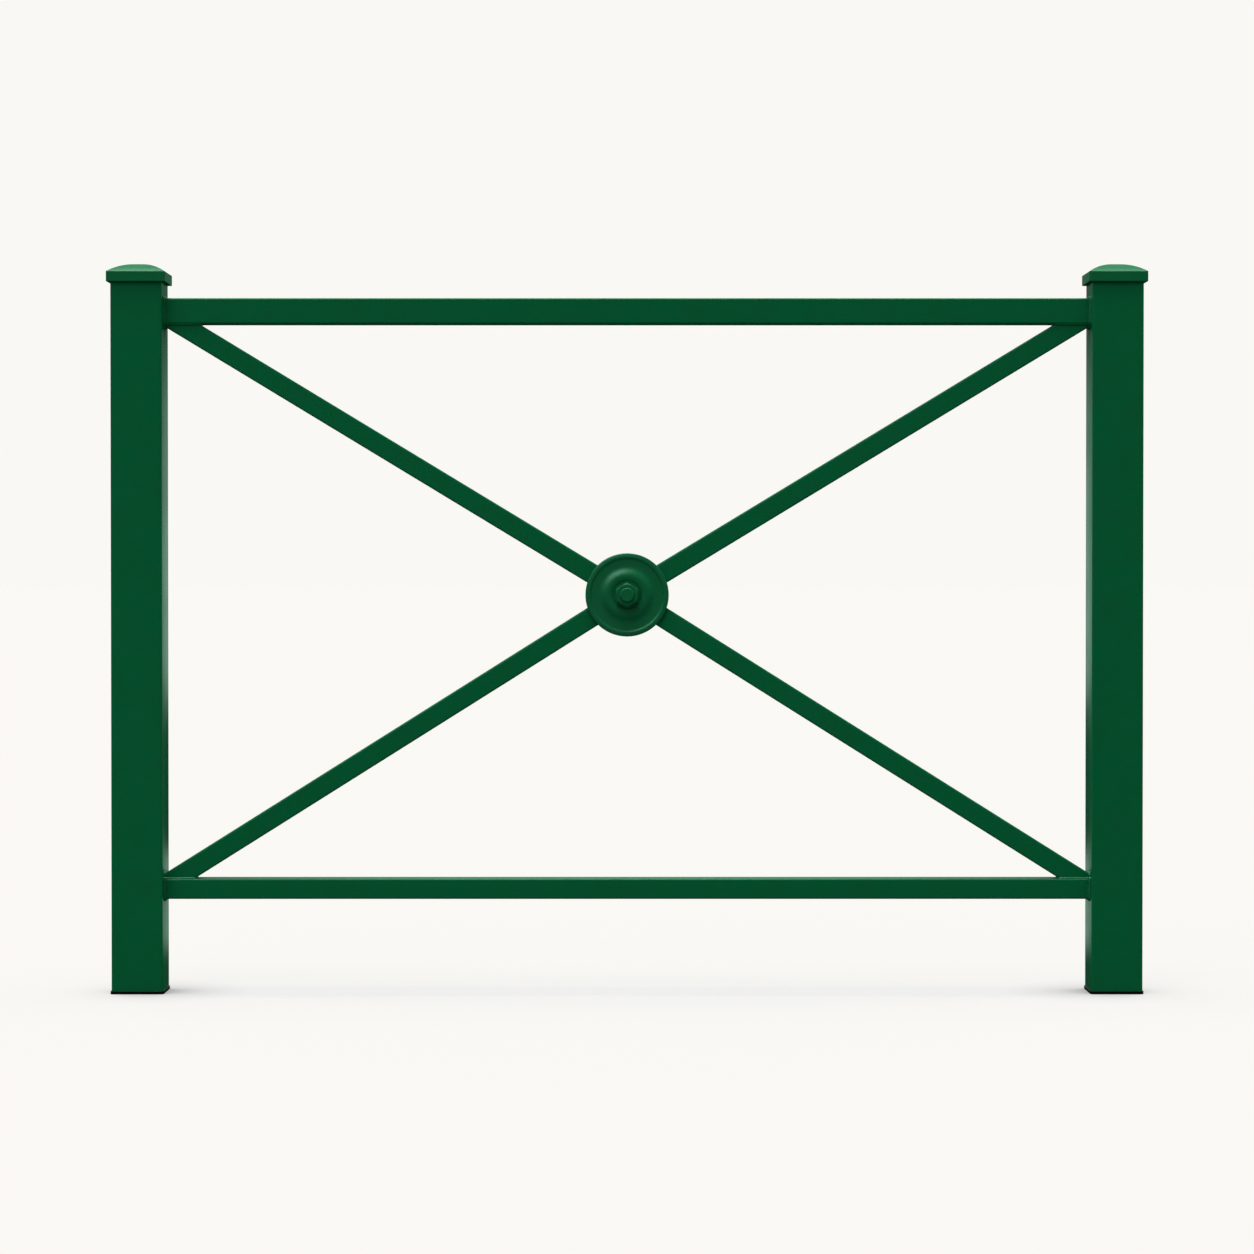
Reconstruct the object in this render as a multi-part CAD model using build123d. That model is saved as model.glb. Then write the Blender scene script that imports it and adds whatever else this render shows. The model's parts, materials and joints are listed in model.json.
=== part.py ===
from build123d import *
import math
import os

os.makedirs("parts", exist_ok=True)

# Pedestrian guard railing, in millimetres. X runs along the railing, Y away from the
# viewer and Z up. The origin is the middle of the left foot's underside.

# Overall frame
overall_length = 1441.5
post_width = 71.5
post_wall = 3.0
post_corner_radius = 3.0
post_top_height = 1005.0

# Feet: a flange under the post, with a hollow plug inside the tube
foot_flange_thickness = 4.5
foot_flange_overhang = 1.5
foot_edge_radius = 1.0
plug_length = 28.0
plug_wall = 3.0
plug_clearance = 0.3

# Caps: a skirt round the top of the post and a low dome
cap_width = 82.2
cap_skirt_height = 14.0
cap_skirt_overlap = 10.0
cap_dome_rise = 13.1
cap_corner_radius = 2.5
cap_lower_edge_radius = 1.0
cap_clearance = 0.3
cap_pocket_wall = 6.0
cap_pocket_depth = 5.0

# Rails: both are tubes of the same depth
rail_depth = 35.0
rail_wall = 2.5
rail_corner_radius = 2.5
top_rail_height = 36.0
top_rail_drop = 49.4
bottom_rail_height = 28.5
bottom_rail_middle_height = 145.8

# Braces: square tube from the posts' inner faces to the hub
brace_width = 28.5
brace_wall = 2.5
brace_corner_radius = 2.5
brace_setback = 4.3
hub_rise = 7.5

# Core that the braces are welded to
core_radius = 34.0

# Rosettes: round castings with a rolled rim, a dish and a boss with a cup for the nut
rosette_radius = 58.4
rosette_edge_height = 3.85
rosette_shoulder_radius = 57.4
rosette_shoulder_height = 5.2
rosette_rim_crest_radius = 53.4
rosette_rim_crest_height = 5.8
rosette_dish_edge_radius = 50.0
rosette_dish_edge_height = 4.4
rosette_valley_radius = 40.5
rosette_valley_height = 4.1
rosette_crest_radius = 26.5
rosette_crest_height = 8.0
rosette_lip_height = 6.9
rosette_seat_height = 3.4

# Bolt, nut and washers
bolt_diameter = 20.0
bolt_end_round = 1.6
bolt_end_projection = 4.0
bolt_head_height = 12.5
hexagon_across_flats = 30.0
hexagon_face_diameter = 28.4
hexagon_chamfer_angle = 30.0
nut_height = 16.0
washer_diameter = 39.0
washer_thickness = 3.0
bore_clearance = 0.5
nut_clearance = 0.15
washer_recess_clearance = 0.4

# Welds
weld_leg = 3.5

# Places that follow from the sizes above
span = overall_length - post_width
clear_width = span - post_width
left_post_face = post_width / 2
right_post_face = span - post_width / 2
middle = span / 2
top_rail_middle_height = post_top_height - top_rail_drop
top_rail_underside = top_rail_middle_height - top_rail_height / 2
bottom_rail_upper_side = bottom_rail_middle_height + bottom_rail_height / 2
hub_height = (top_rail_middle_height + bottom_rail_middle_height) / 2 + hub_rise
brace_top_end_height = top_rail_middle_height - brace_setback
brace_bottom_end_height = bottom_rail_middle_height + brace_setback
cap_bottom_height = post_top_height - cap_skirt_overlap
cap_dome_height = cap_bottom_height + cap_skirt_height
brace_front = -brace_width / 2
seat_front = brace_front - rosette_seat_height
washer_front = seat_front - washer_thickness
nut_front = washer_front - nut_height
bore_radius = bolt_diameter / 2 + bore_clearance
washer_recess_radius = washer_diameter / 2 + washer_recess_clearance


def square_tube(width, depth, wall, outer_radius, length):
    """Upright tube from Z = 0, with its inner corners rounded to keep the wall even."""
    inner_radius = max(outer_radius - wall, wall / 4)
    outer = RectangleRounded(width, depth, outer_radius)
    inner = RectangleRounded(width - 2 * wall, depth - 2 * wall, inner_radius)
    return extrude(outer - inner, length)


def post():
    length = post_top_height - foot_flange_thickness
    tube = square_tube(post_width, post_width, post_wall, post_corner_radius, length)
    return Pos(0, 0, foot_flange_thickness) * tube


def foot_plug():
    """Flange that shows as the foot, and a hollow square plug that grips inside the tube."""
    flange_width = post_width + 2 * foot_flange_overhang
    flange_radius = post_corner_radius + foot_flange_overhang
    flange = extrude(RectangleRounded(flange_width, flange_width, flange_radius), foot_flange_thickness)
    flange = fillet(flange.edges().filter_by(Plane.XY).group_by(Axis.Z)[-1], foot_edge_radius)
    plug_width = post_width - 2 * post_wall - 2 * plug_clearance
    plug = square_tube(plug_width, plug_width, plug_wall, post_corner_radius, plug_length)
    return flange + Pos(0, 0, foot_flange_thickness) * plug


def dome_profile():
    """Shallow arc over the cap's width, standing on the top of the skirt."""
    half = cap_width / 2
    crown = ThreePointArc((half, 0), (0, cap_dome_rise), (-half, 0))
    return make_face(crown + Line((-half, 0), (half, 0)))


def post_cap():
    """Two crossed shallow vaults make the dome. The skirt goes down over the post."""
    along = extrude(Plane.XZ * dome_profile(), cap_width / 2, both=True)
    across = extrude(Plane.YZ * dome_profile(), cap_width / 2, both=True)
    outline = RectangleRounded(cap_width, cap_width, cap_corner_radius)
    dome = along & across & extrude(outline, cap_dome_rise)
    skirt = Pos(0, 0, -cap_skirt_height) * extrude(outline, cap_skirt_height)
    lower_edges = skirt.edges().filter_by(Plane.XY).group_by(Axis.Z)[0]
    skirt = fillet(lower_edges, cap_lower_edge_radius)
    socket_width = post_width + 2 * cap_clearance
    socket = RectangleRounded(socket_width, socket_width, post_corner_radius + cap_clearance)
    pocket_width = post_width - 2 * post_wall - 2 * cap_pocket_wall
    pocket = RectangleRounded(pocket_width, pocket_width, cap_pocket_wall)
    cap = dome + skirt
    cap -= Pos(0, 0, -cap_skirt_height) * extrude(socket, cap_skirt_overlap)
    cap -= Pos(0, 0, cap_skirt_overlap - cap_skirt_height) * extrude(pocket, cap_pocket_depth)
    return Pos(0, 0, cap_dome_height) * cap


def rail_blank(height):
    """Outer shape of a rail between the posts' inner faces, without its bore."""
    profile = Plane.YZ * RectangleRounded(rail_depth, height, rail_corner_radius)
    return Pos(left_post_face, 0, 0) * extrude(profile, clear_width)


def rail(height, middle_height):
    tube = square_tube(height, rail_depth, rail_wall, rail_corner_radius, clear_width)
    return Pos(left_post_face, 0, middle_height) * Rot(0, 90, 0) * tube


def brace_line(is_left, is_top):
    """Ends of a brace's middle line, at the post's inner face and at the railing's middle."""
    side_face = left_post_face if is_left else right_post_face
    end_height = brace_top_end_height if is_top else brace_bottom_end_height
    return Vector(side_face, 0, end_height), Vector(middle, 0, hub_height)


def brace_plane(is_left, is_top):
    """Plane across the brace, set back behind the post's face, with its normal to the hub."""
    start, end = brace_line(is_left, is_top)
    along = (end - start).normalized()
    return Plane(start - along * post_width, x_dir=(0, 1, 0), z_dir=along)


def brace_blank(is_left, is_top, growth=0.0):
    """Outer shape of a brace, run past both of its ends."""
    start, end = brace_line(is_left, is_top)
    width = brace_width + 2 * growth
    profile = brace_plane(is_left, is_top) * RectangleRounded(width, width, brace_corner_radius + growth)
    return extrude(profile, (end - start).length + post_width)


def between_posts(top, bottom):
    """Block of space between the posts' inner faces, deeper than anything in it."""
    block = Box(clear_width, 2 * post_width, top - bottom)
    return Pos(middle, 0, (top + bottom) / 2) * block


def core_blank():
    cylinder = Cylinder(core_radius, brace_width, rotation=(90, 0, 0))
    return Pos(middle, 0, hub_height) * cylinder


def brace(is_left, is_top):
    """Square tube cut to the post and the rail at one end and coped to the core at the other."""
    start, end = brace_line(is_left, is_top)
    tube = square_tube(
        brace_width, brace_width, brace_wall, brace_corner_radius, (end - start).length + post_width
    )
    tube = brace_plane(is_left, is_top).location * tube
    return (tube & between_posts(top_rail_underside, bottom_rail_upper_side)) - core_blank()


def hub_core():
    bore = Pos(middle, 0, hub_height) * Cylinder(bore_radius, 2 * brace_width, rotation=(90, 0, 0))
    return core_blank() - bore


def rosette_profile():
    """Half section of a rosette: radius along X, height above the braces along Y."""
    shoulder = (rosette_shoulder_radius, rosette_shoulder_height)
    rim_crest = (rosette_rim_crest_radius, rosette_rim_crest_height)
    dish_edge = (rosette_dish_edge_radius, rosette_dish_edge_height)
    valley = (rosette_valley_radius, rosette_valley_height)
    crest = (rosette_crest_radius, rosette_crest_height)
    flank = (
        (rosette_valley_radius + rosette_crest_radius) / 2,
        (rosette_valley_height + rosette_crest_height) / 2,
    )
    lip = (washer_recess_radius, rosette_lip_height)
    back = Polyline(
        (washer_recess_radius, rosette_seat_height),
        (bore_radius, rosette_seat_height),
        (bore_radius, 0),
        (rosette_radius, 0),
        (rosette_radius, rosette_edge_height),
    )
    rim_edge = TangentArc(back @ 1, shoulder, tangent=(0, 1))
    rim_outer = TangentArc(rim_crest, shoulder, tangent=(1, 0))
    rim_inner = TangentArc(rim_crest, dish_edge, tangent=(-1, 0))
    dish = TangentArc(valley, dish_edge, tangent=(1, 0))
    rise_low = TangentArc(valley, flank, tangent=(-1, 0))
    rise_high = TangentArc(flank, crest, tangent=rise_low % 1)
    crown = TangentArc(crest, lip, tangent=(-1, 0))
    wall = Line(lip, back @ 0)
    rim = rim_edge + rim_outer + rim_inner
    return make_face(back + rim + dish + rise_low + rise_high + crown + wall)


def rosette(is_front):
    """The profile turned once round the bolt's line, with its flat back on the braces."""
    turned = revolve(rosette_profile(), Axis.Y)
    if is_front:
        turned = Rot(180, 0, 0) * turned
    side = -1 if is_front else 1
    return Pos(middle, side * brace_width / 2, hub_height) * turned


def washer(front):
    """Washer whose outer face is at the given Y, counted from the braces' middle to the front."""
    ring = extrude(Circle(washer_diameter / 2) - Circle(bore_radius), washer_thickness)
    return Pos(middle, front, hub_height) * Rot(-90, 0, 0) * ring


def hexagon(height):
    """Hexagon prism from Z = 0 with a flat-cut cone on its upper end, points up and down."""
    corner_radius = hexagon_across_flats / math.sqrt(3)
    prism = extrude(RegularPolygon(corner_radius, 6, rotation=90), height)
    face_radius = hexagon_face_diameter / 2
    drop = (corner_radius - face_radius) * math.tan(math.radians(hexagon_chamfer_angle))
    cone_height = (corner_radius - face_radius) * height / drop
    cone = Pos(0, 0, height / 2) * Cone(face_radius + cone_height, face_radius, height)
    return prism & cone


def hub_nut():
    nut = hexagon(nut_height) - extrude(Circle(bolt_diameter / 2 + nut_clearance), nut_height)
    return Pos(middle, washer_front, hub_height) * Rot(90, 0, 0) * nut


def hub_bolt():
    """Bolt with its hexagon head behind and its rounded end in front."""
    head_seat = -washer_front
    shank_length = head_seat - nut_front + bolt_end_projection
    shank = extrude(Circle(bolt_diameter / 2), shank_length)
    shank = fillet(shank.edges().group_by(Axis.Z)[-1], bolt_end_round)
    shank = Pos(middle, head_seat, hub_height) * Rot(90, 0, 0) * shank
    head = Pos(middle, head_seat, hub_height) * Rot(-90, 0, 0) * hexagon(bolt_head_height)
    return shank + head


def rail_bead(is_left, height, middle_height):
    """Weld round the end of a rail: widest on the post's face, gone one leg further along."""
    wide = RectangleRounded(height + 2 * weld_leg, rail_depth + 2 * weld_leg, rail_corner_radius + weld_leg)
    narrow = RectangleRounded(height, rail_depth, rail_corner_radius)
    collar = loft([wide.face(), (Pos(0, 0, weld_leg) * narrow).face()])
    turn = Rot(0, 90, 0) if is_left else Rot(0, -90, 0)
    side_face = left_post_face if is_left else right_post_face
    return Pos(side_face, 0, middle_height) * turn * collar


def brace_section(is_left, is_top, seat, growth):
    """Rectangle that a brace, grown on every side, cuts from the seat plane."""
    start, end = brace_line(is_left, is_top)
    run = end - start
    steepness = abs(run.dot(seat.z_dir)) / run.length
    centre = start + run * ((seat.origin - start).dot(seat.z_dir) / run.dot(seat.z_dir))
    outline = Rectangle(brace_width + 2 * growth, brace_width / steepness + 2 * growth)
    return (Plane(centre, x_dir=(0, 1, 0), z_dir=seat.z_dir) * outline).face()


def brace_bead(is_left, is_top, seat, root):
    """Weld round a brace where it meets the seat, from the root behind it to one leg above it."""
    wide = brace_section(is_left, is_top, seat.offset(-root), weld_leg)
    narrow = brace_section(is_left, is_top, seat.offset(weld_leg), 0)
    return loft([wide, narrow])


def corner_weld(is_left, is_top):
    """All the weld metal in one corner: round the rail's end and along both edges of the brace's end."""
    side_face = left_post_face if is_left else right_post_face
    post_seat = Plane((side_face, 0, 0), z_dir=(1 if is_left else -1, 0, 0))
    if is_top:
        height = top_rail_height
        middle_height = top_rail_middle_height
        rail_seat = Plane((0, 0, top_rail_underside), z_dir=(0, 0, -1))
    else:
        height = bottom_rail_height
        middle_height = bottom_rail_middle_height
        rail_seat = Plane((0, 0, bottom_rail_upper_side), z_dir=(0, 0, 1))
    beads = rail_bead(is_left, height, middle_height)
    beads += brace_bead(is_left, is_top, post_seat, 0)
    beads += brace_bead(is_left, is_top, rail_seat, rail_corner_radius)
    beads &= between_posts(post_top_height, 0)
    beads -= Pos(0, 0, middle_height) * rail_blank(height)
    return beads - brace_blank(is_left, is_top)


def all_parts():
    parts = {
        "left_foot_plug": foot_plug(),
        "right_foot_plug": Pos(span, 0, 0) * foot_plug(),
        "left_post": post(),
        "right_post": Pos(span, 0, 0) * post(),
        "left_post_cap": post_cap(),
        "right_post_cap": Pos(span, 0, 0) * post_cap(),
        "top_rail": rail(top_rail_height, top_rail_middle_height),
        "bottom_rail": rail(bottom_rail_height, bottom_rail_middle_height),
        "hub_core": hub_core(),
        "front_rosette": rosette(True),
        "back_rosette": rosette(False),
        "front_washer": washer(washer_front),
        "back_washer": washer(-seat_front),
        "hub_bolt": hub_bolt(),
        "hub_nut": hub_nut(),
    }
    for is_top in (True, False):
        level = "top" if is_top else "bottom"
        for is_left in (True, False):
            side = "left" if is_left else "right"
            parts[f"{level}_{side}_brace"] = brace(is_left, is_top)
            parts[f"{level}_{side}_weld"] = corner_weld(is_left, is_top)
    return parts


for name, shape in all_parts().items():
    export_step(shape, f"parts/{name}.step")
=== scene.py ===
import json
import math

import bmesh
import bpy
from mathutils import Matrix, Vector


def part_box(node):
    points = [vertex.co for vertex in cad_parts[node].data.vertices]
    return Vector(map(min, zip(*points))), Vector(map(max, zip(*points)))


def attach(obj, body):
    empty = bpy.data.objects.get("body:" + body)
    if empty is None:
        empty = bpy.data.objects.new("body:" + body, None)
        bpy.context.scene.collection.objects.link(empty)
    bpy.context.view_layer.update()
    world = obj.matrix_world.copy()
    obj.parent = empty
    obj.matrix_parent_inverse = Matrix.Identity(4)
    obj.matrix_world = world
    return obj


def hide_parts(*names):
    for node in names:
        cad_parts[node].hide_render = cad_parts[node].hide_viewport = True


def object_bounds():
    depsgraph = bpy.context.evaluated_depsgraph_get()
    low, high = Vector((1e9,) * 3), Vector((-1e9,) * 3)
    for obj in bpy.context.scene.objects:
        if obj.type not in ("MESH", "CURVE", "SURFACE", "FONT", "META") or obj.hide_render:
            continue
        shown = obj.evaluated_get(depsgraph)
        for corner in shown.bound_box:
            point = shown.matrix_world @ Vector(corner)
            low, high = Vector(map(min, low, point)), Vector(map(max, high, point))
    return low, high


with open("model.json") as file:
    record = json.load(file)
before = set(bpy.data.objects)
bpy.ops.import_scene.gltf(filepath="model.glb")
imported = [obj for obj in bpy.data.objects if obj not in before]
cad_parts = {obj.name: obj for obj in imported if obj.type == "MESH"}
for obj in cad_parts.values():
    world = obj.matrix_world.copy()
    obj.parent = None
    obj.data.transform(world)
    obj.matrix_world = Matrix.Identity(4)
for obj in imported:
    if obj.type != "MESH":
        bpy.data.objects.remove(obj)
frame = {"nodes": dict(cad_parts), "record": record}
cad_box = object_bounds()


# Camera, fitted to the photograph. The focal length is in pixels of its 1254 by 1254 frame.
IMAGE_WIDTH = 1254
FOCAL_PIXELS = 3492.8
SENSOR_WIDTH = 36.0
CAMERA_BEFORE_FRONT = 4.9103
CAMERA_SIDE_SHIFT = -0.0031
CAMERA_HEIGHT = 0.5810
CAMERA_PITCH_DOWN = 0.794
CAMERA_YAW_RIGHT = 0.035
FAR_CLIP = 1000.0

# Backdrop colour, the photograph's pale studio paper, as linear red, green and blue.
BACKDROP = (0.956, 0.939, 0.905)

# What gloss shows: greenish grey surroundings, bright behind the railing and dark in front of it.
# GLOSS_SKY holds their level by the sine of the elevation, and GLOSS_FLOOR the floor's level by the
# distance behind the posts' middle.
GLOSS_TINT = (0.63, 0.97, 0.79)
GLOSS_SKY = ((0.0, 0.68), (0.045, 0.42), (0.058, 0.25), (0.068, 0.06), (0.12, 0.40), (0.45, 1.0))
GLOSS_FLOOR = (
    (-0.037, 0.0), (-0.034, 0.8), (0.003, 0.8), (0.012, 0.02), (0.35, 0.02),
    (0.85, 0.60), (2.1, 0.60), (2.9, 0.0), (10.0, 0.0), (15.0, 0.68),
)

# Light levels. A level of 1 shows a surface square to it at the colour that is written.
SKY_LEVEL = 0.37
SUNS = {
    "key": {"level": 2.70, "spread": 42.0, "come_from": (-0.06, 0.0, 1.0), "shows_in": "both"},
    "softbox": {"level": 0.46, "spread": 40.0, "come_from": (-0.30, -0.66, 0.74), "shows_in": "both"},
    "glint": {"level": 0.20, "spread": 44.0, "come_from": (-0.46, -0.66, 0.62), "shows_in": "gloss"},
    "front": {"level": 0.28, "spread": 90.0, "come_from": (-0.15, -1.0, 0.22), "shows_in": "light"},
    "left": {"level": 0.40, "spread": 80.0, "come_from": (-1.0, 0.45, 0.30), "shows_in": "light"},
    "right": {"level": 0.70, "spread": 80.0, "come_from": (1.0, 0.45, 0.30), "shows_in": "light"},
}

# Floor: its size, and how much light it throws back.
FLOOR_SIZE = 400.0
FLOOR_BOUNCE = 0.40

# The share of each colour of the floor that the lamps light, so that its shadow is soft and cool. The
# rest is the paper's own level.
FLOOR_LIT = (0.29, 0.23, 0.175)

# Painted shade on the floor where the feet meet it: how far it reaches, how much darker it is on the
# inner sides of the feet, how open a spot is where it ends, and its colour where it is deepest.
CONTACT_REACH = 0.120
CONTACT_LEAN = 0.50
CONTACT_OPEN = 0.955
CONTACT_COLOUR = (0.16, 0.17, 0.18)
CONTACT_SAMPLES = 8

# Colours of the finishes, linear, as the photograph shows them on the fronts: two close tones each.
GREENS = ((0.0006, 0.0642, 0.0208), (0.0016, 0.0592, 0.0198))
BLACKS = ((0.0002, 0.0010, 0.0005), (0.0010, 0.0022, 0.0015))
GLOSS_COLOUR = (0.60, 1.00, 0.85)

# Relief of the finishes, as sizes and heights in metres: from orange peel to fine grain.
POWDER = ((0.0022, 14e-6), (0.0006, 2e-6))
BRUSHED = ((0.0024, 20e-6), (0.0007, 4e-6))
MOULDED = ((0.0012, 12e-6), (0.0004, 8e-6))

# The finishes. Shade is the share of the colour and gloss that painted shade leaves deep in a crevice.
# Patch is the size of the patches of tone, and edge the radius that edges are eased by, in metres.
COATS = {
    "green_paint": {
        "colours": GREENS, "shade": 0.10, "patch": 0.045, "roughness": (0.18, 0.25),
        "specular": 0.08, "edge": 0.0004, "relief": POWDER,
    },
    "cap_paint": {
        "colours": GREENS, "shade": 0.60, "patch": 0.035, "roughness": (0.34, 0.44),
        "specular": 0.08, "edge": 0.0008, "relief": BRUSHED,
    },
    "hub_paint": {
        "colours": GREENS, "shade": 0.80, "patch": 0.030, "roughness": (0.27, 0.36),
        "specular": 0.26, "edge": 0.0009, "relief": BRUSHED,
    },
    "bolt_paint": {
        "colours": GREENS, "shade": 0.80, "patch": 0.020, "roughness": (0.34, 0.44),
        "specular": 0.12, "edge": 0.0012, "relief": BRUSHED,
    },
    "foot_plastic": {
        "colours": BLACKS, "shade": 1.00, "patch": 0.020, "roughness": (0.28, 0.38),
        "specular": 0.06, "edge": 0.0005, "relief": MOULDED,
    },
    "weld_paint": {
        "colours": GREENS, "shade": 0.30, "patch": 0.012, "roughness": (0.22, 0.30),
        "specular": 0.20, "edge": 0.0002, "relief": POWDER,
    },
}
FASTENERS = ("hub_bolt", "hub_nut", "front_washer", "back_washer")

# Painted shade in crevices and under overhangs: how far it reaches, how much it looks up, and from how
# closed to how open it goes.
SHADE_REACH = 0.030
SHADE_TILT = 0.9
SHADE_SPAN = (0.05, 0.36)
SHADE_SAMPLES = 6
EDGE_SAMPLES = 4

# Painted shade in the gloss: it fades on faces that look down, between these slopes.
GLOSS_SHADE_SLOPES = (-0.75, -0.15)

# Faces are a little crowned from front to back: the turn of the surface, in radians a metre.
CROWN = 2.0

# Noise: the middle of its range that is used, and where in the pattern each use of it starts.
NOISE_SPAN = (0.3, 0.7)
PATCH_START = 1.7
GLOSS_START = 5.1
RELIEF_START = 9.3
RELIEF_START_STEP = 3.6
GLOSS_PATCH_SHARE = 0.6

# The bolt's radius and how far the braces' ends are set back from the rails' middles, as in the solids.
BOLT_RADIUS = 0.010
BRACE_SETBACK = 0.0043

# Weld beads: their radius, the share of it along the rail, their ripples and slow wander in width,
# how far apart points are, and how corners are rounded. Each run starts at its own phase.
BEAD_RADIUS = 0.0034
RAIL_BEAD_SHARE = 0.65
BEAD_RIPPLE = 0.0026
BEAD_RIPPLE_DEPTH = 0.10
BEAD_WANDER = 0.07
BEAD_WANDER_LENGTHS = (0.0083, 0.0131)
BEAD_STEP = 0.0004
BEAD_BEND = 0.0025
BEND_STEPS = 6
BEAD_FACETS = 3
RAIL_END_PHASE = 0.4
ON_RAIL_PHASE = 1.1
ON_POST_PHASE = 2.3

# Thread on the bolt's end, as paint leaves it. Its foot and crest are half widths in shares of the pitch.
THREAD_PITCH = 0.0025
THREAD_RIDGE = 0.00022
THREAD_FOOT = 0.42
THREAD_CREST = 0.16
THREAD_END = 0.0022
THREAD_STEPS = 72
THREAD_FADE_STEPS = 12


def middle_of(node):
    """The middle of a node's box."""
    low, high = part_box(node)
    return (low + high) / 2


def add_camera():
    data = bpy.data.cameras.new("camera")
    data.sensor_width = SENSOR_WIDTH
    data.lens = FOCAL_PIXELS * SENSOR_WIDTH / IMAGE_WIDTH
    data.clip_end = FAR_CLIP
    camera = bpy.data.objects.new("camera", data)
    middle_x = (cad_box[0][0] + cad_box[1][0]) / 2
    camera.location = (middle_x + CAMERA_SIDE_SHIFT, -CAMERA_BEFORE_FRONT, CAMERA_HEIGHT)
    camera.rotation_euler = (math.radians(90 - CAMERA_PITCH_DOWN), 0, math.radians(-CAMERA_YAW_RIGHT))
    bpy.context.scene.collection.objects.link(camera)
    bpy.context.scene.camera = camera


def add_sun(name, level, spread, come_from, shows_in):
    data = bpy.data.lights.new(name, "SUN")
    data.energy = level * math.pi
    data.angle = math.radians(spread)
    lamp = bpy.data.objects.new(name, data)
    lamp.rotation_euler = Vector(come_from).to_track_quat("Z", "Y").to_euler()
    lamp.visible_glossy = shows_in != "light"
    lamp.visible_diffuse = shows_in != "gloss"
    bpy.context.scene.collection.objects.link(lamp)


def add_node(tree, kind, inputs, **settings):
    """A shader node with its settings and inputs. An input may be another node's output."""
    node = tree.nodes.new(f"ShaderNode{kind}")
    for name, value in settings.items():
        setattr(node, name, value)
    for name, value in inputs.items():
        if isinstance(value, bpy.types.NodeSocket):
            tree.links.new(value, node.inputs[name])
        else:
            node.inputs[name].default_value = value
    return node


def add_place(tree):
    """The place of a spot, in the railing's own metres."""
    return add_node(tree, "TexCoord", {}).outputs["Object"]


def add_normal(tree):
    """The direction that the surface faces."""
    return add_node(tree, "NewGeometry", {}).outputs["Normal"]


def add_part(tree, vector, axis):
    """One coordinate of a vector."""
    return add_node(tree, "SeparateXYZ", {0: vector}).outputs[axis]


def add_even(tree, vector):
    """The vector at a length of 1."""
    return add_node(tree, "VectorMath", {0: vector}, operation="NORMALIZE").outputs["Vector"]


def add_range(tree, value, given, wanted=(0.0, 1.0)):
    """Spreads the given span of a value over the wanted one, and holds it at their ends."""
    ends = {"Value": value, "From Min": given[0], "From Max": given[1]}
    ends.update({"To Min": wanted[0], "To Max": wanted[1]})
    return add_node(tree, "MapRange", ends).outputs["Result"]


def add_ramp(tree, value, stops, colour):
    """A colour at levels that change with a value: stops are pairs of value and level."""
    ramp = add_node(tree, "ValToRGB", {"Fac": value})
    ramp.color_ramp.interpolation = "EASE"
    elements = ramp.color_ramp.elements
    for index, (at, level) in enumerate(stops):
        element = elements[index] if index < 2 else elements.new(at)
        element.position = at
        element.color = (*[c * level for c in colour], 1)
    return ramp.outputs["Color"]


def add_mix(tree, share, first, second):
    """Mixes two colours. Each is a colour or the output of another node."""
    mix = add_node(tree, "Mix", {}, data_type="RGBA")
    tree.links.new(share, mix.inputs["Factor"])
    for name, colour in (("A", first), ("B", second)):
        if isinstance(colour, tuple):
            mix.inputs[name].default_value = (*colour, 1)
        else:
            tree.links.new(colour, mix.inputs[name])
    return mix.outputs["Result"]


def add_noise(tree, scale, detail, start):
    """Noise from 0 to 1. The start moves it to another part of the pattern."""
    place = {"Vector": add_place(tree), "Location": (start, 2 * start, 3 * start)}
    moved = add_node(tree, "Mapping", place).outputs["Vector"]
    return add_node(tree, "TexNoise", {"Vector": moved, "Scale": scale, "Detail": detail}).outputs["Fac"]


def add_openness(tree, facing, reach, samples, span):
    """How open a spot is on the side that it is taken to face, from 0 to 1 over a span of the shade."""
    look = {"Normal": add_even(tree, facing), "Distance": reach}
    shade = add_node(tree, "AmbientOcclusion", look, samples=samples)
    return add_range(tree, shade.outputs["AO"], span)


def add_shader(tree, kind, colour):
    """A plain shader of one colour, or of another node's output."""
    value = (*colour, 1) if isinstance(colour, tuple) else colour
    return add_node(tree, kind, {"Color": value}).outputs[0]


def mix_shaders(tree, share, first, second):
    return add_node(tree, "MixShader", {0: share, 1: first, 2: second}).outputs[0]


def empty_tree(owner):
    """The node tree of a world or material, with nothing in it."""
    owner.use_nodes = True
    owner.node_tree.nodes.clear()
    return owner.node_tree


def add_world():
    """Pale paper for the camera, dim surroundings in gloss, and soft sky light on everything."""
    world = bpy.data.worlds.new("studio")
    bpy.context.scene.world = world
    tree = empty_tree(world)
    path = add_node(tree, "LightPath", {}).outputs
    direction = add_node(tree, "TexCoord", {}).outputs["Generated"]
    level = add_ramp(tree, add_part(tree, direction, "Z"), GLOSS_SKY, GLOSS_TINT)
    to_back = add_range(tree, add_part(tree, direction, "Y"), (-1.0, 1.0))
    surroundings = add_node(tree, "Background", {"Color": level, "Strength": to_back}).outputs[0]
    sky = add_node(tree, "Background", {"Color": (1, 1, 1, 1), "Strength": SKY_LEVEL}).outputs[0]
    paper = add_shader(tree, "Background", BACKDROP)
    rays = {0: path["Is Camera Ray"], 1: path["Is Transmission Ray"]}
    seen = add_node(tree, "Math", rays, operation="MAXIMUM").outputs[0]
    lit = mix_shaders(tree, path["Is Glossy Ray"], sky, surroundings)
    add_node(tree, "OutputWorld", {"Surface": mix_shaders(tree, seen, lit, paper)})


def light_on_floor():
    """How brightly an open white floor would show under all the lights."""
    suns = [sun for sun in SUNS.values() if sun["shows_in"] != "gloss"]
    return SKY_LEVEL + sum(sun["level"] * Vector(sun["come_from"]).normalized().z for sun in suns)


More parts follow.
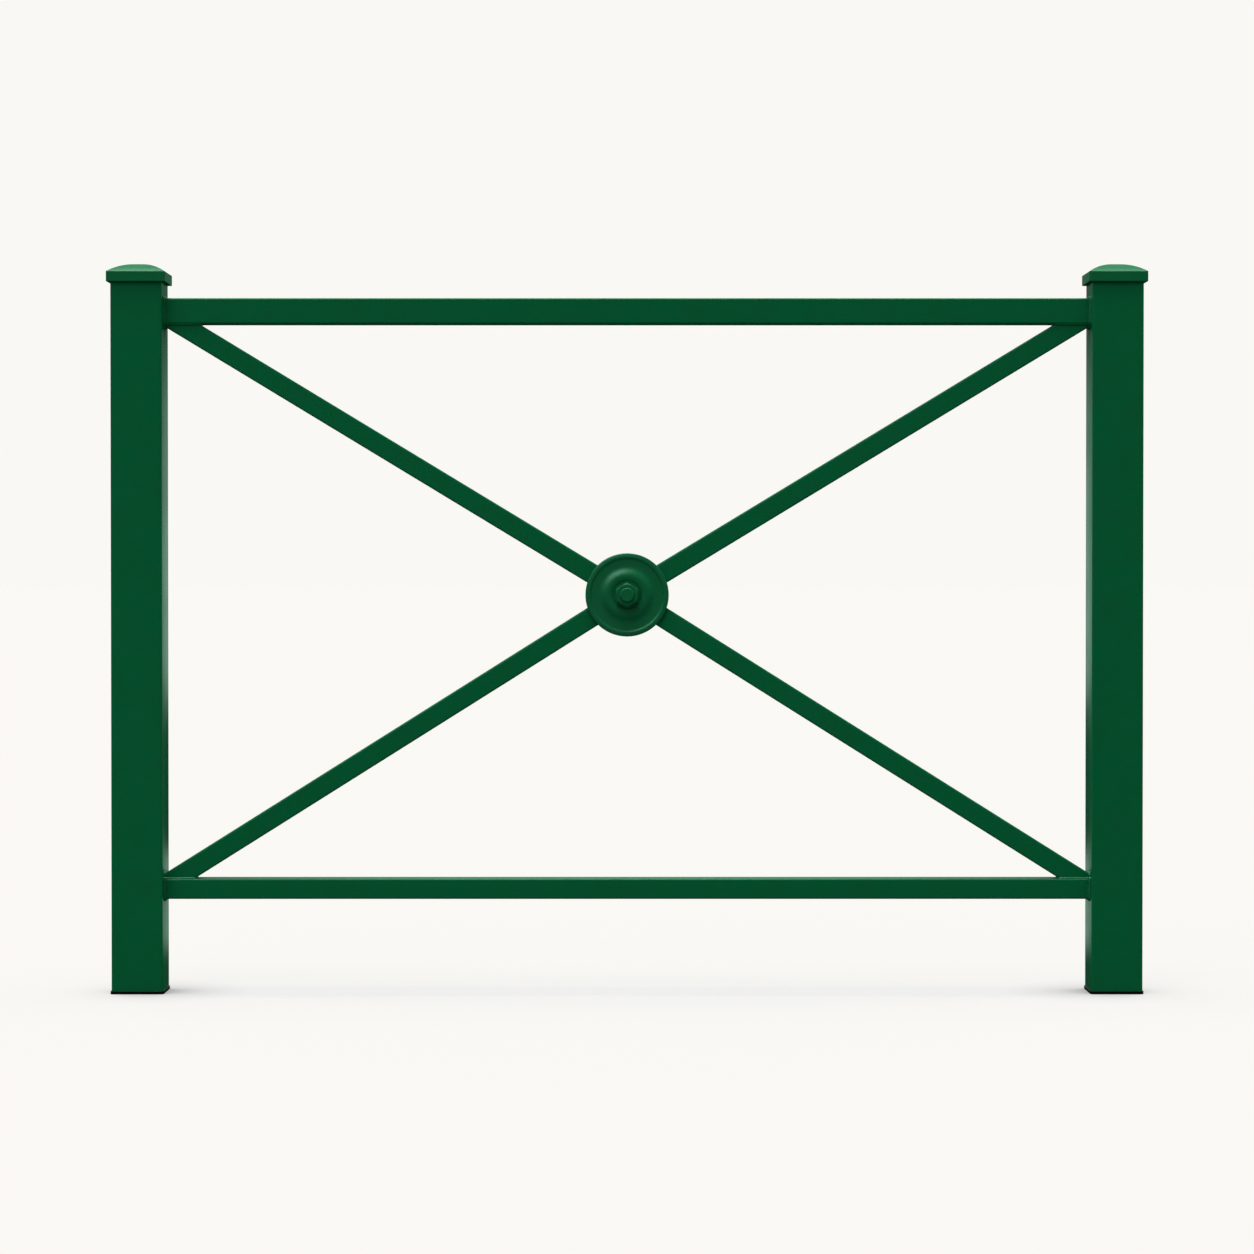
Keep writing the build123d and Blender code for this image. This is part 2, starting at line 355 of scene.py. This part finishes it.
def gloss_on_floor(tree):
    """The floor as gloss shows it, in bands behind the railing."""
    first, last = GLOSS_FLOOR[0][0], GLOSS_FLOOR[-1][0]
    share = add_range(tree, add_part(tree, add_place(tree), "Y"), (first, last))
    stops = [((distance - first) / (last - first), level) for distance, level in GLOSS_FLOOR]
    return add_shader(tree, "Emission", add_ramp(tree, share, stops, GLOSS_TINT))


def contact_shade(tree):
    """The paper's own level, with painted shade near the feet, deepest on the sides that face each other.
    """
    ends = (cad_box[0][0], cad_box[1][0])
    outward = add_range(tree, add_part(tree, add_place(tree), "X"), ends, (-CONTACT_LEAN, CONTACT_LEAN))
    leaning = add_node(tree, "CombineXYZ", {"X": outward, "Z": 1.0}).outputs["Vector"]
    openness = add_openness(tree, leaning, CONTACT_REACH, CONTACT_SAMPLES, (0.0, CONTACT_OPEN))
    shaded, open_paper = [
        tuple(c * (1 - lit) for c, lit in zip(colour, FLOOR_LIT)) for colour in (CONTACT_COLOUR, BACKDROP)
    ]
    return add_mix(tree, openness, shaded, open_paper)


def floor_material():
    """Pale where the eye sees it, dimmer in gloss and darker in the light that it throws back."""
    material = bpy.data.materials.new("floor")
    tree = empty_tree(material)
    path = add_node(tree, "LightPath", {}).outputs
    light = light_on_floor()
    lit = add_shader(tree, "BsdfDiffuse", tuple(c * lit / light for c, lit in zip(BACKDROP, FLOOR_LIT)))
    glow = add_shader(tree, "Emission", contact_shade(tree))
    seen = add_node(tree, "AddShader", {0: lit, 1: glow}).outputs[0]
    bounce = add_shader(tree, "BsdfDiffuse", tuple(c * FLOOR_BOUNCE / light for c in BACKDROP))
    without_gloss = mix_shaders(tree, path["Is Diffuse Ray"], seen, bounce)
    surface = mix_shaders(tree, path["Is Glossy Ray"], without_gloss, gloss_on_floor(tree))
    add_node(tree, "OutputMaterial", {"Surface": surface})
    return material


def add_floor():
    half = FLOOR_SIZE / 2
    mesh = bpy.data.meshes.new("floor")
    corners = [(-half, -half, 0), (half, -half, 0), (half, half, 0), (-half, half, 0)]
    mesh.from_pydata(corners, [], [(0, 1, 2, 3)])
    mesh.materials.append(floor_material())
    floor = bpy.data.objects.new("floor", mesh)
    bpy.context.scene.collection.objects.link(floor)


def add_gloss_level(tree, openness, specular, shade):
    """Gloss with painted shade: less in crevices and none on faces that look down."""
    facing = add_range(tree, add_part(tree, add_normal(tree), "Z"), GLOSS_SHADE_SLOPES)
    gloss = add_range(tree, openness, (0.0, 1.0), (specular * shade, specular))
    return add_node(tree, "Math", {0: facing, 1: gloss}, operation="MULTIPLY").outputs[0]


def add_surface(tree, edge, relief):
    """Eased edges, crowned faces and the coating's own relief."""
    eased = add_node(tree, "Bevel", {"Radius": edge}, samples=EDGE_SAMPLES).outputs["Normal"]
    turn = {0: add_place(tree), 1: (0, CROWN, 0), 2: eased}
    crowned = add_node(tree, "VectorMath", turn, operation="MULTIPLY_ADD").outputs["Vector"]
    normal = add_even(tree, crowned)
    for index, (size, height) in enumerate(relief):
        rise = add_noise(tree, 1 / size, 1.0, RELIEF_START + RELIEF_START_STEP * index)
        marks = {"Strength": 1.0, "Distance": height, "Height": rise, "Normal": normal}
        normal = add_node(tree, "Bump", marks).outputs["Normal"]
    return normal


def coat(name, colours, shade, patch, roughness, specular, edge, relief):
    """A coating: two close tones in patches, uneven gloss, relief, and painted shade that darkens its
    colour and gloss in crevices.
    """
    material = bpy.data.materials.new(name)
    material.use_nodes = True
    tree = material.node_tree
    links = tree.links
    shader = tree.nodes["Principled BSDF"]
    shader.inputs["Specular Tint"].default_value = (*GLOSS_COLOUR, 1)
    # Painted shade: how open each spot is towards the top darkens its colour and gloss in crevices and
    # under overhangs.
    upward = {0: add_normal(tree), 1: (0, 0, SHADE_TILT)}
    tilted = add_node(tree, "VectorMath", upward, operation="ADD").outputs["Vector"]
    openness = add_openness(tree, tilted, SHADE_REACH, SHADE_SAMPLES, SHADE_SPAN)
    patches = add_range(tree, add_noise(tree, 1 / patch, 3.0, PATCH_START), NOISE_SPAN)
    unevenness = add_noise(tree, GLOSS_PATCH_SHARE / patch, 4.0, GLOSS_START)
    shaded = tuple(c * shade for c in colours[0])
    tone = add_mix(tree, openness, shaded, add_mix(tree, patches, *colours))
    links.new(tone, shader.inputs["Base Color"])
    links.new(add_gloss_level(tree, openness, specular, shade), shader.inputs["Specular IOR Level"])
    links.new(add_range(tree, unevenness, NOISE_SPAN, roughness), shader.inputs["Roughness"])
    links.new(add_surface(tree, edge, relief), shader.inputs["Normal"])
    return material


def dress(name, material):
    """Gives a CAD node its finish."""
    node = frame["nodes"][name]
    node.data.materials.clear()
    node.data.materials.append(material)
    for polygon in node.data.polygons:
        polygon.material_index = 0


def add_piece(data, finish, slot, *replaced):
    """Puts a new piece in the scene, on the root body, with its finish. Its slot argument is not used."""
    piece = bpy.data.objects.new(data.name, data)
    piece.data.materials.append(coats[finish])
    bpy.context.scene.collection.objects.link(piece)
    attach(piece, "root")
    if replaced:
        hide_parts(*replaced)


def rounded(points, closed):
    """The run through these points with its corners rounded."""
    path = []
    for index, point in enumerate(points):
        if not closed and index in (0, len(points) - 1):
            path.append(point)
            continue
        into = (points[index - 1] - point).normalized() * BEAD_BEND
        out = (points[(index + 1) % len(points)] - point).normalized() * BEAD_BEND
        for step in range(BEND_STEPS + 1):
            share = step / BEND_STEPS
            path.append(point + into * (1 - share) ** 2 + out * share ** 2)
    return path + path[:1] if closed else path


def closely_spaced(path, closed):
    """The same path with points about a bead's step apart."""
    even = []
    for first, last in zip(path, path[1:]):
        steps = max(1, round((last - first).length / BEAD_STEP))
        even += [first.lerp(last, step / steps) for step in range(steps)]
    return even if closed else even + path[-1:]


def add_bead(curve, points, closed, phase, size=1.0):
    """One weld run: a round bead along the points, with its ripples and a slow wander in width."""
    path = closely_spaced(rounded([Vector(point) for point in points], closed), closed)
    spline = curve.splines.new("POLY")
    spline.points.add(len(path) - 1)
    spline.use_cyclic_u = closed
    short, long = BEAD_WANDER_LENGTHS
    run = 0.0
    for index, point in enumerate(path):
        if index:
            run += (point - path[index - 1]).length
        ripple = abs(math.sin(math.pi * run / BEAD_RIPPLE + phase))
        wander = math.sin(run / short + phase) * math.sin(run / long + 2 * phase)
        spline.points[index].co = (*point, 1)
        spline.points[index].radius = size * (1 - BEAD_RIPPLE_DEPTH * (1 - ripple) + BEAD_WANDER * wander)


def brace_end(level, side, post_face, rail_face, half):
    """How far the brace's end reaches along the rail and down or up the post."""
    inward = 1 if side == "left" else -1
    away = -1 if level == "top" else 1
    hub = middle_of("hub_core")
    start = Vector((post_face, 0, middle_of(f"{level}_rail").z + away * BRACE_SETBACK))
    slope = (Vector((hub.x, 0, hub.z)) - start).normalized()
    on_rail = start + slope * ((rail_face - start.z) / slope.z)
    return on_rail.x + inward * half / abs(slope.z), start.z + away * half / abs(slope.x)


def weld(level, side):
    """All the weld in one corner: round the rail's end, and along the brace's end on rail and post."""
    post_low, post_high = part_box(f"{side}_post")
    rail_low, rail_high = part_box(f"{level}_rail")
    brace_low, brace_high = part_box(f"{level}_{side}_brace")
    post_face = post_high.x if side == "left" else post_low.x
    rail_face = rail_low.z if level == "top" else rail_high.z
    front, back = brace_low.y, brace_high.y
    far_x, far_z = brace_end(level, side, post_face, rail_face, (back - front) / 2)

    curve = bpy.data.curves.new(f"{level}_{side}_bead", "CURVE")
    curve.dimensions = "3D"
    curve.bevel_depth = BEAD_RADIUS
    curve.bevel_resolution = BEAD_FACETS
    curve.use_fill_caps = True
    rail_end = [
        (post_face, rail_low.y, rail_low.z), (post_face, rail_low.y, rail_high.z),
        (post_face, rail_high.y, rail_high.z), (post_face, rail_high.y, rail_low.z),
    ]
    on_rail = [(x, y, rail_face) for x, y in brace_sides(post_face, far_x, front, back)]
    on_post = [(post_face, y, z) for z, y in brace_sides(rail_face, far_z, front, back)]
    add_bead(curve, rail_end, True, RAIL_END_PHASE)
    add_bead(curve, on_rail, False, ON_RAIL_PHASE, RAIL_BEAD_SHARE)
    add_bead(curve, on_post, False, ON_POST_PHASE)
    add_piece(curve, "weld_paint", "green_paint", f"{level}_{side}_weld")


def brace_sides(near, far, front, back):
    """The run round three sides of a brace's end, from the corner and back to it."""
    return (near, front), (far, front), (far, back), (near, back)


def add_thread():
    """A low ridge that winds round the bolt's end, from inside the nut to where the end is rounded."""
    hub = middle_of("hub_bolt")
    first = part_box("hub_nut")[0].y + THREAD_PITCH / 2
    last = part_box("hub_bolt")[0].y + THREAD_END
    turns = (first - last) / THREAD_PITCH
    steps = round(turns * THREAD_STEPS)
    mesh = bmesh.new()
    rings = []
    for step in range(steps + 1):
        turn = 2 * math.pi * turns * step / steps
        y = first + (last - first) * step / steps
        rise = min(1.0, step / THREAD_FADE_STEPS, (steps - step) / THREAD_FADE_STEPS)
        profile = ((-THREAD_FOOT, -1.0), (-THREAD_CREST, rise), (THREAD_CREST, rise), (THREAD_FOOT, -1.0))
        ring = []
        for offset, height in profile:
            radius = BOLT_RADIUS + THREAD_RIDGE * height
            x, z = hub.x + radius * math.cos(turn), hub.z + radius * math.sin(turn)
            ring.append(mesh.verts.new((x, y + offset * THREAD_PITCH, z)))
        rings.append(ring)
    for one, two in zip(rings, rings[1:]):
        for side in range(4):
            mesh.faces.new((one[side], one[(side + 1) % 4], two[(side + 1) % 4], two[side]))
    mesh.faces.new(rings[0])
    mesh.faces.new(reversed(rings[-1]))
    bmesh.ops.recalc_face_normals(mesh, faces=mesh.faces)
    data = bpy.data.meshes.new("bolt_thread")
    mesh.to_mesh(data)
    mesh.free()
    data.polygons.foreach_set("use_smooth", [True] * len(data.polygons))
    add_piece(data, "bolt_paint", "hub_paint")


bpy.context.scene.view_settings.view_transform = "Standard"
add_camera()
add_world()
for name, sun in SUNS.items():
    add_sun(name, **sun)
add_floor()
coats = {name: coat(name, **values) for name, values in COATS.items()}
for part in frame["record"]["subparts"]:
    dress(part["node"], coats[part["material_slot"]])
for node in FASTENERS:
    dress(node, coats["bolt_paint"])
for level in ("top", "bottom"):
    for side in ("left", "right"):
        weld(level, side)
add_thread()
